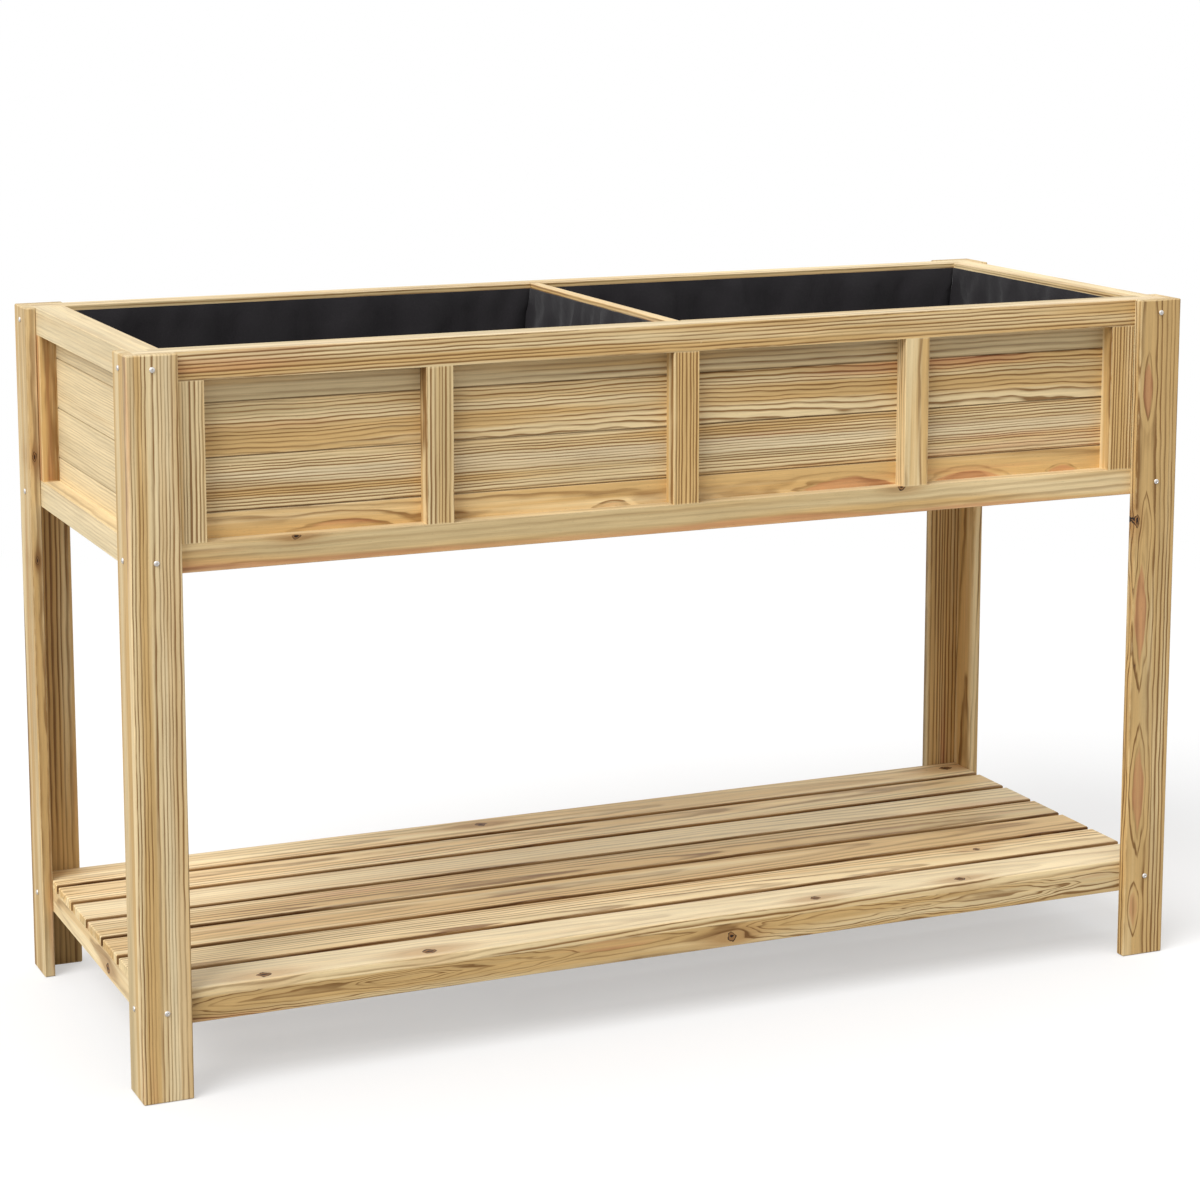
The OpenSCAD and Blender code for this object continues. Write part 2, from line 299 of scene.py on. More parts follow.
def knot_group(colours):
    """A round knot that the grain flows past, along the grain, across it and into the board."""
    w, source, result = new_group(
        "Fir knot",
        {"Vector": "Vector Place Flat", "Float": "Radius Short Seed"},
        {"Vector": "Vector", "Color": "Color", "Float": "Mask Halo"},
    )
    radius = source["Radius"]
    away = w.vector("SUBTRACT", source["Vector"], source["Place"])
    face = w.vector("MULTIPLY", away, source["Flat"])

    # reach: 0 in its middle, 1 on its ragged rim
    seeded = w.vector("ADD", away, w.join(source["Seed"], source["Seed"], 0.0))
    ragged = w.scaled(w.drift(seeded, (180, 180, 180), 1.0), radius)
    near = w.vector("ADD", face, w.scaled(ragged, 0.8))
    nx, ny, nz = w.split(w.vector("ABSOLUTE", near))
    nx = w.over(w.times(nx, source["Short"]), radius)
    side = w.over(w.plus(ny, nz), radius)
    reach = w.spread(nx, nx, side)
    mask = w.minus(1.0, w.step(reach, 0.94, 1.08))

    # flow: how far off in radii, which says how much the grain is pushed aside
    far = w.vector("MULTIPLY", face, (0.30, 1, 1))
    flow = w.over(w.vector("LENGTH", far), radius)
    halo = w.minus(1.0, w.step(flow, 0.6, 3.4))
    part = w.math("DIVIDE", 1.5, w.plus(w.times(flow, flow), 0.5), clamp=True)
    aside = w.vector("MULTIPLY", face, (0, 1, 1))
    moved = w.vector("SUBTRACT", source["Vector"], w.scaled(aside, part))

    rings = w.times(w.math("SINE", w.times(reach, 15.0)), 0.09)
    bark, knot = colours["bark"], colours["knot"]
    stops = ((0.0, bark), (0.20, bark), (0.32, knot), (0.58, knot), (0.70, bark))
    shade = w.ramp(w.plus(w.times(reach, 0.9), rings), stops)
    w.fill(result, dict(Vector=moved, Color=shade, Mask=mask, Halo=halo))


def fir_group(colours):
    """Solid fir: year rings round a pith, so each face and end shows its own cut through them."""
    w, source, result = new_group(
        "Solid fir",
        {
            "Vector": "Vector Point Half Pith Lean Axis",
            "Float": "Ring Wave Seed Line Rose Warm Shade Fine Flush Bleach Cream Lift",
        },
        {"Color": "Color", "Float": "Roughness Height"},
    )
    seed = source["Seed"]
    place = source["Vector"]
    own = w.vector("ADD", place, w.join(w.times(seed, 1.7), seed, seed))
    along = w.split(place)[0]

    # distance from the pith, which leans and wanders along the board
    spread = w.times(source["Wave"], 2.0)
    wander = w.drift(own, (3.1, 8, 8), spread)
    waver = w.drift(own, (24, 70, 70), w.spread(source["Wave"], 0.35, 0.0009))
    lean = w.scaled(source["Lean"], along)
    rest = w.vector("SUBTRACT", w.vector("SUBTRACT", place, source["Pith"]), lean)
    rest = w.vector("ADD", w.vector("ADD", rest, wander), waver)
    radius = w.vector("LENGTH", w.vector("MULTIPLY", rest, (0, 1, 1)))
    radius = w.minus(radius, source["Lift"])
    years = w.fill(
        w.add("TexNoise", noise_dimensions="1D"),
        {"W": w.plus(w.times(radius, 70.0), seed), "Scale": 1.0, "Detail": 1.0},
    )
    growth = w.times(w.minus(years["Fac"], 0.5), 0.0055)
    phase = w.over(w.plus(radius, growth), source["Ring"])
    stops = (
        (0.0, 0.34), (0.07, 0.06), (0.25, 0.0), (0.48, 0.14),
        (0.66, 0.70), (0.78, 1.0), (0.92, 1.0), (1.0, 0.34),
    )
    late = w.ramp(w.math("FRACT", phase), stops)
    luck = w.luck(w.plus(w.math("FLOOR", phase), seed))
    weight = w.spread(luck["Value"], 0.62, 0.76)
    fade = w.step(w.noise(own, (2.4, 40, 40)), 0.30, 0.62, 0.50, 1.30)
    broken = w.step(w.noise(own, (14, 330, 330), 2.0), 0.30, 0.60, 0.60, 1.12)
    strength = w.times(w.times(weight, fade), source["Line"])
    strength = w.times(strength, broken)
    facing = w.add("TexCoord").outputs["Normal"]
    # painted highlight: faces turned upward are paled and lose their ring lines, and so are boards
    # given cream
    bleached = w.times(w.step(w.split(facing)[2], 0.5, 0.9), source["Bleach"])
    bleached = w.larger(bleached, source["Cream"])
    strength = w.times(strength, w.minus(1.0, bleached))
    end = w.size(w.vector("DOT_PRODUCT", facing, source["Axis"]))
    end = w.step(end, 0.5, 0.9)
    strength = w.times(strength, w.spread(end, -0.60, 1.0))
    late = w.math("POWER", late, source["Fine"])
    late = w.math("MULTIPLY", late, strength, clamp=True)

    # bands of colour along the grain
    band = w.plus(w.noise(own, (1.5, 52, 52), 3.0), source["Warm"])
    colour = w.mix(w.step(band, 0.40, 0.60), colours["straw"], colours["tan"])
    other = w.vector("ADD", own, (3.3, 1.9, 0.7))
    grey = w.step(w.noise(other, (1.1, 22, 22), 2.0), 0.52, 0.70, 0.0, 0.8)
    colour = w.mix(grey, colour, colours["sage"])
    heart = w.vector("ADD", own, (7.1, 4.3, 2.9))
    ruddy = w.plus(w.noise(heart, (2.0, 38, 38), 2.5), source["Rose"])
    ruddy = w.spread(w.split(source["Point"])[1], source["Flush"], ruddy)
    rosy = w.step(ruddy, 0.60, 0.78)
    colour = w.mix(w.times(rosy, 0.75), colour, colours["rose"])
    # painted highlight on upward faces and on the lit left boards, together with the wood's own
    # pale patches
    colour = w.mix(bleached, colour, colours["bleached"])
    line = w.mix(rosy, colours["line"], colours["red_line"])
    colour = w.mix(w.times(late, 0.92), colour, line)

    # fibres, resin flecks and stain
    fibre = w.noise(own, (22, 900, 900), 3.0, 0.65)
    strand = w.noise(own, (7, 260, 260), 2.0)
    stain = w.noise(own, (5, 17, 17), 4.0, 0.6)
    flecks = w.step(w.noise(own, (150, 2100, 2100), 1.0), 0.68, 0.76)
    tone = w.spread(fibre, 0.44, 0.78)
    for mark, scale, base in ((strand, 0.36, 0.82), (stain, 0.30, 0.85), (flecks, -0.20, 1.0)):
        tone = w.times(tone, w.spread(mark, scale, base))
    tone = w.times(tone, source["Shade"])

    # end grain drinks the light, and handled edges are paler
    tone = w.times(tone, w.spread(end, -0.07, 1.0))
    inset = w.vector("SUBTRACT", source["Half"], w.vector("ABSOLUTE", source["Point"]))
    ix, iy, iz = w.split(inset)
    total = w.plus(w.plus(ix, iy), iz)
    deepest = w.larger(w.larger(ix, iy), iz)
    rim = w.minus(total, deepest)
    worn = w.spread(w.noise(own, (60, 60, 60), 3.0), 0.0055, -0.0012)
    edge = w.minus(1.0, w.step(rim, w.times(worn, 0.3), worn))
    colour = w.mix(w.times(edge, 0.30), colour, colours["straw"])
    colour = w.mix(1.0, colour, w.join(tone, tone, tone), "MULTIPLY")

    dull = w.plus(w.spread(fibre, 0.22, 0.50), w.times(end, 0.12))
    dull = w.spread(late, -0.10, dull)
    rise = w.spread(late, 0.36, w.times(fibre, 0.7))
    rise = w.plus(rise, w.times(strand, 0.4))
    rise = w.spread(flecks, -0.35, rise)
    w.fill(result, dict(Color=colour, Roughness=dull, Height=rise))


# How a board was sawn. In millimetres: pith across and into the board, its lean per metre, ring
# gap and wave. Then, as shares: line (strength of the ring lines), fine (their sharpness), rose
# and warm (leaning to red or to tan), flush (rose towards one edge), the upward highlight (a
# painted highlight that pales upward faces), cream (all faces; on the left boards and rails a
# painted highlight of the lit side) and shade (on some boards painted shade or painted light).
# Knots and hearts lie at measured places on their board:
# knots (along, across, radius), hearts (along, across, length, width, rings, red),
# pale (across, width, share). short squeezes a knot along the grain, round and sideways say
# how it passes through, and soft fades the lines round hearts.

PLAIN = dict(
    shade=1.0, fine=1.0, flush=0.0, bleach=0.34, cream=0.0, soft=0.0, short=0.42,
    sideways=False, round=False, knots=(), hearts=(),
)
RIFT = dict(
    pith=(-75, 8), lean=(2, 0), ring=4.4, wave=1.5, line=1.15, rose=0.0, warm=0.02, fine=1.2
)
FLAT = dict(
    pith=(3, 34), lean=(6, 26), ring=5.2, wave=5, line=0.80, rose=0.02, warm=0.0, fine=2.4
)
PALE = dict(pith=(-90, 20), lean=(3, 0), ring=4.0, wave=2, line=0.32, rose=-0.12, warm=-0.10)
# the left end boards' cream is a painted highlight of the lit left side
ENDS = dict(PALE, cream=0.25, shade=0.94)
SLAT = dict(
    FLAT, pith=(4, 28), ring=7.0, wave=6, rose=-0.03, warm=0.03, fine=1.3, bleach=0.24, short=0.8
)

SAWN = {
    "front_left_post_face": dict(
        RIFT, lean=(5, 0), ring=4.3, wave=3, rose=-0.02, flush=-0.24, line=1.0, fine=1.7, warm=0.04,
        shade=0.94, pale=(-561, 18, 0.35),
    ),
    "front_left_post_side": dict(PALE, rose=-0.04, line=0.35, warm=0.05, shade=0.88),
    "front_right_post_face": dict(
        FLAT, pith=(-14, 22), lean=(3, 5), ring=4.2, wave=3, rose=-0.02, line=0.98, shade=0.88,
        warm=0.06, fine=1.6, soft=0.55,
        knots=((507, 550.6, 3.4), (341, 552.6, 1.0)),
        hearts=(
            (722, 561, 44, 6.5, 0.6, 0.0),
            (655, 560, 34, 6.5, 1.45, 0.36),
            (397, 558, 68, 8.5, 2.2, 0.46),
            (195, 562, 62, 8.5, 2.2, 0.46),
            (56, 560, 26, 6.0, 1.5, 0.36),
            (490, 561, 40, 6.0, 2.0, 0.0),
        ),
    ),
    "rear_left_post_side": dict(
        PALE, line=0.5, shade=0.90, warm=0.0, rose=-0.02, knots=((592, 190, 2.6), (476, 188, 2.2)),
        sideways=True,
    ),
    # the rear posts' low shade is painted shade where they stand under the box
    "rear_left_post_face": dict(RIFT, pith=(40, 14), ring=4.8, rose=0.02, warm=0.1, shade=0.84),
    "rear_right_post_face": dict(RIFT, pith=(-70, 8), ring=4.5, warm=0.08, rose=0.03, shade=0.88),
    "front_top_rail": dict(
        RIFT, pith=(70, 14), lean=(9, 2), ring=4.0, rose=0.08, flush=0.24, line=1.10, bleach=0.66,
        shade=0.96,
    ),
    "front_bottom_rail": dict(
        PALE, pith=(-22, 12), ring=5.5, wave=4, line=0.38, warm=0.0, rose=0.07, flush=-0.50,
        shade=0.96, short=0.8, round=True, knots=((-427.5, 564.8, 4.0), (256.6, 564.8, 4.0)),
    ),
    "front_stile_1": dict(RIFT, warm=0.0, ring=4.1, line=0.95, rose=-0.04),
    "front_stile_2": dict(RIFT, pith=(60, 4), warm=0.03, ring=4.0, line=1.2),
    "front_stile_3": dict(RIFT, pith=(-55, 9), ring=3.9, warm=0.03, line=1.0),
    "front_stile_4": dict(FLAT, pith=(-12, 16), lean=(0, 14), line=0.55, rose=0.07, fine=1.6),
    "front_stile_5": dict(RIFT, pith=(80, 6), ring=3.9, line=1.5, rose=0.02),
    # front_board_4's low shade is painted shade under the top rail
    "front_board_4": dict(PALE, pith=(-60, 22), ring=5.0, line=0.5, warm=-0.03, shade=0.80),
    "front_board_3": dict(
        RIFT, pith=(-36, 18), lean=(8, 12), ring=3.5, wave=6, line=0.90, fine=1.8, warm=0.08,
        rose=-0.03, shade=0.95,
    ),
    "front_board_2": dict(
        RIFT, pith=(62, 10), lean=(5, 0), ring=3.0, wave=3, line=1.30, rose=0.02, warm=0.02,
        shade=0.95, pale=(621, 13, 0.55),
    ),
    "front_board_1": dict(
        FLAT, pith=(4, 22), lean=(3, 12), ring=6.5, wave=6, rose=-0.07, line=0.58, warm=0.09,
        fine=1.8, shade=1.03,
        hearts=(
            (-371, 565, 56, 11, 1.4, 0.24),
            (-75, 564, 20, 5, 1.0, 0.22),
            (200, 566, 60, 10, 1.4, 0.24),
            (350, 565, 42, 8, 1.2, 0.20),
            (470, 566, 18, 5, 1.0, 0.20),
        ),
    ),
    # cream on the left rails is a painted highlight of the lit left side
    "left_top_rail": dict(PALE, line=0.24, cream=0.42, shade=0.93),
    "left_bottom_rail": dict(PALE, pith=(60, 12), line=0.38, cream=0.40, shade=0.95),
    "left_board_4": dict(ENDS, ring=3.4),
    "left_board_3": dict(ENDS, ring=3.1, pith=(80, 10)),
    "left_board_2": dict(ENDS, ring=3.3),
    "left_board_1": dict(ENDS, ring=3.8, pith=(-50, 14)),
    "left_rear_stile": dict(RIFT, ring=4.4, rose=0.08, warm=0.10, line=1.0),
    "left_front_stile": dict(RIFT, ring=4.2, warm=0.04),
    "shelf_front_rail": dict(
        FLAT, pith=(6, 20), lean=(2, 4), ring=4.4, wave=3, warm=0.03, rose=-0.06, shade=0.86,
        short=0.9, knots=((56.3, 85.5, 5.8),),
        hearts=(
            (-404, 90, 120, 9, 3.6, 0.0),
            (-250, 91, 94, 9, 3.6, 0.0),
            (-82, 95, 84, 6, 1.2, 0.19),
            (190, 90, 86, 9, 3.6, 0.0),
            (372, 90, 88, 9, 3.6, 0.0),
            (515, 92, 45, 6, 1.2, 0.20),
        ),
    ),
    # cream on the shelf's left rail is a painted highlight of the lit left side
    "shelf_left_rail": dict(
        FLAT, pith=(5, 18), line=0.6, short=0.7, cream=0.25, knots=((-55.3, 85.4, 5.4),)
    ),
    "shelf_slat_1": dict(
        SLAT, pith=(-6, 30), ring=6, line=0.7, warm=-0.06, rose=0.02, flush=0.2, bleach=0.72,
        knots=(
            (-465.4, -210.5, 7.0), (-285.8, -209.3, 7.0),
            (164.9, -209.5, 5.4), (345.4, -211.3, 5.4),
        ),
    ),
    "shelf_slat_2": dict(
        SLAT, pith=(-20, 24), ring=6, warm=-0.08, shade=1.09, knots=((420, -120, 4.0),)
    ),
    "shelf_slat_3": dict(
        SLAT, pith=(8, 24), warm=0.12, shade=1.02,
        knots=((-108.9, -99.7, 5.4), (523.6, -97.7, 5.0)),
    ),
    "shelf_slat_4": dict(SLAT, pith=(-14, 20), warm=0.02, rose=0.04),
    # the raised shade of slats 5 to 7 is painted light that keeps the rear slats bright under the
    # box
    "shelf_slat_5": dict(SLAT, pith=(-26, 20), warm=-0.06, flush=-0.2, shade=1.07, bleach=0.60),
    "shelf_slat_6": dict(SLAT, pith=(12, 26), shade=1.15, bleach=0.36, knots=((-0.1, 90.6, 6.6),)),
    "shelf_slat_7": dict(
        SLAT, pith=(-5, 22), shade=1.17, bleach=0.36,
        knots=((-69, 201.7, 6.6), (562.9, 200.6, 7.5)),
    ),
}

# The wood's colour is multiplied by these round knots, and by painted shade in V joints and on the
# sides of gaps
HALO = (0.62, 0.44, 0.30, 1.0)
SEAM = (0.20, 0.13, 0.08, 1.0)
GAP_SHADE = (0.36, 0.25, 0.16, 1.0)

# Nodes that hold several like boards side by side, and how many
ROWS = dict(rear_stiles=5, floor_bearers=3, floor_slats=13, shelf_bearers=2, divider=3)


def grain_axes(name):
    """Axes of a board: along the grain, across its wide face, and into it."""
    ends = name.startswith(("left_", "right_"))
    if name.endswith("_post_face"):
        return 2, 0, 1
    if name.endswith("_post_side"):
        return 2, 1, 0
    if "stile" in name:
        return (2, 1, 0) if ends else (2, 0, 1)
    if name.startswith("shelf_slat") or name == "floor_bearers":
        return 0, 1, 2
    if name in ("floor_slats", "shelf_bearers"):
        return 1, 0, 2
    if ends or name in ("divider", "shelf_left_rail", "shelf_right_rail"):
        return 1, 2, 0
    return 0, 2, 1


def sawn(name, order):
    """What is written for this board, or a likely cut of its own."""
    if name in SAWN:
        return SAWN[name]
    rng = random.Random(order)
    base = rng.choice((RIFT, RIFT, FLAT))
    turn = rng.choice((-1, 1))
    across, into = base["pith"]
    return dict(
        base,
        pith=(across * turn * rng.uniform(0.7, 1.2), into * rng.uniform(0.7, 1.3)),
        ring=base["ring"] * rng.uniform(0.85, 1.15),
        line=base["line"] * rng.uniform(0.8, 1.1),
        rose=rng.uniform(-0.05, 0.06),
        warm=rng.uniform(-0.05, 0.06),
    )


def seams(name):
    """Heights of the V joints along a wall board, darkened with painted shade and dirt."""
    wall, _, number = name.rpartition("_")
    if not wall.endswith("_board"):
        return []
    boards = (f"{wall}_{int(number) + step}" for step in (0, 1))
    return [
        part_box(board)[0].z
        for board in boards
        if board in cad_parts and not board.endswith("_1")
    ]


def lens(w, away, long, wide):
    """How far out a point lies in a lens along the grain: 0 in the middle, 1 on its outline."""
    ragged = w.drift(away, (26, 150, 150), (0.3 * long, 0.9 * wide, 0.0))
    x, y, _ = w.split(w.vector("ADD", away, ragged))
    far = w.over(x, long)
    side = w.over(w.size(y), wide)
    return w.spread(far, far, side)


def fir_material(name, order):
    """The fir of one CAD node, with its own place in the log."""
    axes = grain_axes(name)
    low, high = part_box(name)
    centre = [(low[a] + high[a]) / 2 for a in axes]
    half = [(high[a] - low[a]) / 2 for a in axes]
    cut = {**PLAIN, **sawn(name, order)}
    material, w, shader = new_material("fir_" + name)

    read = w.split(w.add("TexCoord").outputs["Object"])
    point = w.vector("SUBTRACT", w.join(*(read[a] for a in axes)), tuple(centre))
    seed = 3.17 + 0.731 * order
    if name in ROWS:
        count = ROWS[name]
        parts = w.split(point)
        gap = 2 * half[1] / count
        number = w.math("FLOOR", w.plus(w.over(parts[1], gap), count / 2))
        middle = w.times(w.minus(number, (count - 1) / 2), gap)
        point = w.join(parts[0], w.minus(parts[1], middle), parts[2])
        luck = w.luck(w.plus(number, float(order)))
        shift = w.vector("SUBTRACT", luck["Color"], (0.5, 0.5, 0.5))
        inner = w.vector("ADD", point, w.vector("MULTIPLY", shift, (2.0, 0.05, 0.02)))
        half[1] = gap / 2
        seed = w.spread(luck["Value"], 9.0, seed)
    else:
        inner = point

    marks = []
    for number, (far, side, radius) in enumerate(cut["knots"]):
        sideways, whole = cut["sideways"], cut["round"]
        spot = (
            far * MM - centre[0],
            0.0 if sideways else side * MM - centre[1],
            -half[2] if whole else 0.0,
        )
        knot = w.fill(
            w.add("Group", node_tree=bpy.data.node_groups["Fir knot"]),
            dict(
                Vector=inner, Place=spot, Flat=(1, 1 - sideways, sideways or whole),
                Radius=radius * MM, Short=cut["short"], Seed=1.3 * number + 0.37 * order,
            ),
        )
        inner = knot["Vector"]
        marks.append(knot)

    lift, rose, line, soft = 0.0, cut["rose"], cut["line"], cut["soft"]
    for far, side, long, wide, rings, red in cut["hearts"]:
        place = (far * MM - centre[0], side * MM - centre[1], 0.0)
        reach = lens(w, w.vector("SUBTRACT", inner, place), long * MM, wide * MM)
        swell = w.step(reach, 0.0, 2.6, rings * cut["ring"] * MM, 0.0)
        lift = w.plus(swell, lift)
        rose = w.plus(w.step(reach, 0.70 - 0.4 * soft, 1.10 + 0.4 * soft, red, 0.0), rose)
        if soft:
            line = w.times(w.step(reach, 0.6, 2.2, 1.0 - soft, 1.0), line)

    # cream pales a whole board: on the left boards and rails it is a painted highlight of the lit
    # side, while a pale patch is the wood's own
    cream = cut["cream"]
    if "pale" in cut:
        side, wide, cream = cut["pale"]
        off = w.size(w.minus(w.split(point)[1], side * MM - centre[1]))
        patch = w.step(w.noise(point, (3.3, 40, 40)), 0.34, 0.56, 0.25, cream)
        cream = w.times(patch, w.step(off, 0.3 * wide * MM, wide * MM, 1.0, 0.0))

    fir = w.fill(
        w.add("Group", node_tree=bpy.data.node_groups["Solid fir"]),
        dict(
            Vector=inner, Point=point, Half=tuple(half), Seed=seed,
            Axis=tuple(float(a == axes[0]) for a in range(3)),
            Pith=(0, cut["pith"][0] * MM, cut["pith"][1] * MM),
            Lean=(0, cut["lean"][0] * MM, cut["lean"][1] * MM),
            Ring=cut["ring"] * MM, Wave=cut["wave"] * MM, Flush=cut["flush"] / (2 * half[1]),
            Line=line, Rose=rose, Lift=lift, Cream=cream,
            Warm=cut["warm"], Shade=cut["shade"], Fine=cut["fine"], Bleach=cut["bleach"],
        ),
    )
    colour, height = fir["Color"], fir["Height"]
    for mark in marks:
        colour = w.mix(w.times(mark["Halo"], 0.55), colour, HALO, "MULTIPLY")
        colour = w.mix(mark["Mask"], colour, mark["Color"])
        height = w.spread(mark["Mask"], -0.8, height)
    # painted shade: slat sides that face a gap between slats are darkened
    if name.startswith("shelf_slat"):
        facing = w.split(w.add("TexCoord").outputs["Normal"])[1]
        ways = {"shelf_slat_1": (1,), "shelf_slat_7": (-1,)}.get(name, (-1, 1))
        for way in ways:
            inward = w.step(w.times(facing, float(way)), 0.4, 0.8)
            colour = w.mix(w.times(inward, 0.92), colour, GAP_SHADE, "MULTIPLY")
    # painted shade, with some dirt, darkens the V joints, more strongly on the front walls
    dust_and_seam_shade = 0.65 if name.startswith("front") else 0.45
    for joint in seams(name):
        off = w.size(w.minus(w.split(point)[1], joint - centre[1]))
        deep = w.minus(1.0, w.step(off, 0.4 * MM, 1.2 * MM))
        colour = w.mix(w.times(deep, dust_and_seam_shade), colour, SEAM, "MULTIPLY")
    w.fill(
        shader,
        {
            "Base Color": colour,
            "Roughness": fir["Roughness"],
            "Normal": w.bump(height, bpy.context.scene.planter_wood.relief, 0.35),
            "Specular IOR Level": 0.30,
        },
    )
    return material


def wood_groups():
    """Makes the two shared trees once, from the wood's colours."""
    if "Solid fir" in bpy.data.node_groups:
        return
    wood = bpy.context.scene.planter_wood
    names = ("straw", "tan", "sage", "bleached", "rose", "line", "red_line", "knot", "bark")
    colours = {name: linear(getattr(wood, name)) for name in names}
    knot_group(colours)
    fir_group(colours)


def dress(*words):
    """Gives each CAD node whose name holds one of these words its own fir."""
    wood_groups()
    for order, name in enumerate(sorted(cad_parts)):
        if any(word in name for word in words):
            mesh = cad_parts[name].data
            mesh.materials.clear()
            mesh.materials.append(fir_material(name, order))


# Modelling


def deselect():
    if bpy.context.object and bpy.context.object.mode != "OBJECT":
        bpy.ops.object.mode_set(mode="OBJECT")
    bpy.ops.object.select_all(action="DESELECT")


def pick(*pieces):
    """Selects these pieces alone, and makes the first the active one."""
    deselect()
    for piece in pieces:
        piece.select_set(True)
    bpy.context.view_layer.objects.active = pieces[0]


def modify(piece, kind, **settings):
    """Gives the active piece a modifier with these settings, and applies it."""
    bpy.ops.object.modifier_add(type=kind)
    modifier = piece.modifiers[-1]
    for name, value in settings.items():
        setattr(modifier, name, value)
    bpy.ops.object.modifier_apply(modifier=modifier.name)


def settle(piece, material):
    """Puts the piece's place into its mesh, and makes it ride on the frame."""
    pick(piece)
    bpy.ops.object.transform_apply(location=True, rotation=True, scale=True)
    piece.data.materials.clear()
    piece.data.materials.append(material)
    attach(piece, "root")


# Liners


def cloth_material():
    """Black fleece pressed from fibres, with rows of weld points."""
    material, w, shader = new_material("liner_fleece")
    liner = bpy.context.scene.planter_liner
    where = w.add("TexCoord").outputs["Object"]
    fibres = w.noise(where, (900, 900, 900), 4.0, 0.7)
    clouds = w.noise(where, (24, 24, 24), 3.0)
    welds = w.fill(
        w.add("TexVoronoi", feature="F1"),
        {"Vector": where, "Scale": 620.0, "Randomness": 0.25},
    )
    dots = w.minus(1.0, w.step(welds["Distance"], 0.16, 0.34))
    tone = w.spread(fibres, 0.9, 0.55)
    tone = w.times(tone, w.spread(clouds, 0.5, 0.75))
    tone = w.times(tone, w.spread(dots, -0.25, 1.0))
    colour = w.mix(1.0, linear(liner.cloth), w.join(tone, tone, tone), "MULTIPLY")
    w.fill(
        shader,
        {
            "Base Color": colour,
            "Roughness": w.spread(dots, -0.25, 0.92),
            "Normal": w.bump(w.spread(dots, -0.7, fibres), 0.5, 0.3),
            "Specular IOR Level": 0.25,
            "Sheen Weight": 0.12,
            "Sheen Roughness": 0.5,
        },
    )
    return material


def cloth_grid(low, high):
    """A flat cloth for the floor and the walls of one liner, and how many cells a side has."""
    liner = bpy.context.scene.planter_liner
    cells = [max(4, round(side / liner.mesh_step)) for side in high - low]
    deselect()
    bpy.ops.mesh.primitive_grid_add(
        x_subdivisions=cells[0] + 2 * cells[2],
        y_subdivisions=cells[1] + 2 * cells[2],
        size=1,
        calc_uvs=True,
    )
    return bpy.context.object, cells


def fold_up(cloth, low, high, cells):
    """Cuts the corners out of the flat cloth, turns its flaps up and sews the corners."""
    liner = bpy.context.scene.planter_liner
    columns, rows, climb = cells
    across, down = columns + 2 * climb, rows + 2 * climb
    bpy.ops.object.mode_set(mode="EDIT")
    mesh = bmesh.from_edit_mesh(cloth.data)
    mesh.verts.ensure_lookup_table()
    corner = []
    for v in mesh.verts:
        i = round((v.co.x + 0.5) * across) - climb
        j = round((v.co.y + 0.5) * down) - climb
        past_x, past_y = max(-i, i - columns, 0), max(-j, j - rows, 0)
        if past_x and past_y:
            corner.append(v)
            continue
        i, j = min(max(i, 0), columns), min(max(j, 0), rows)
        up = (past_x + past_y) / climb  # 0 at the floor, 1 at the top edge
        x = low.x + (high.x - low.x) * i / columns
        y = low.y + (high.y - low.y) * j / rows
        # folds open out as they rise, and close a little at the held edge
        fold = liner.fold_depth * (0.30 + 0.70 * min(1.0, 1.6 * up))
        fold *= 1.0 - 0.45 * max(0.0, up - 0.8) / 0.2
        run = (y - low.y) if past_x else (x - low.x)
        length = (high.y - low.y) if past_x else (high.x - low.x)
        folds = max(1, round(length / liner.fold_pitch))
        stand = fold * (1 - math.cos(2 * math.pi * folds * run / length)) / 2
        if up:
            if past_x:
                x += stand if v.co.x < 0 else -stand
            else:
                y += stand if v.co.y < 0 else -stand
        v.co = Vector((x, y, low.z + (high.z - low.z) * up))
    bmesh.ops.delete(mesh, geom=corner, context="VERTS")
    bmesh.update_edit_mesh(cloth.data)
    bpy.ops.mesh.select_all(action="SELECT")
    bpy.ops.mesh.remove_doubles(threshold=0.5 * MM)
    bpy.ops.mesh.normals_make_consistent(inside=True)
    bpy.ops.object.mode_set(mode="OBJECT")


def wall_round(low, high):
    """The boards and the floor as boxes that the falling cloth lies against."""
    thick = 0.03
    middle, size = (low + high) / 2, high - low
    made = []
    for axis, side in ((0, -1), (0, 1), (1, -1), (1, 1), (2, -1)):
        place, scale = middle.copy(), size + Vector((2 * thick,) * 3)
        place[axis] += side * (size[axis] + thick) / 2
        scale[axis] = thick
        bpy.ops.mesh.primitive_cube_add(size=1, location=place, scale=scale)
        wall = bpy.context.object
        bpy.ops.object.modifier_add(type="COLLISION")
        wall.collision.thickness_outer = 0.6 * MM
        wall.collision.cloth_friction = 20
        made.append(wall)
    return made


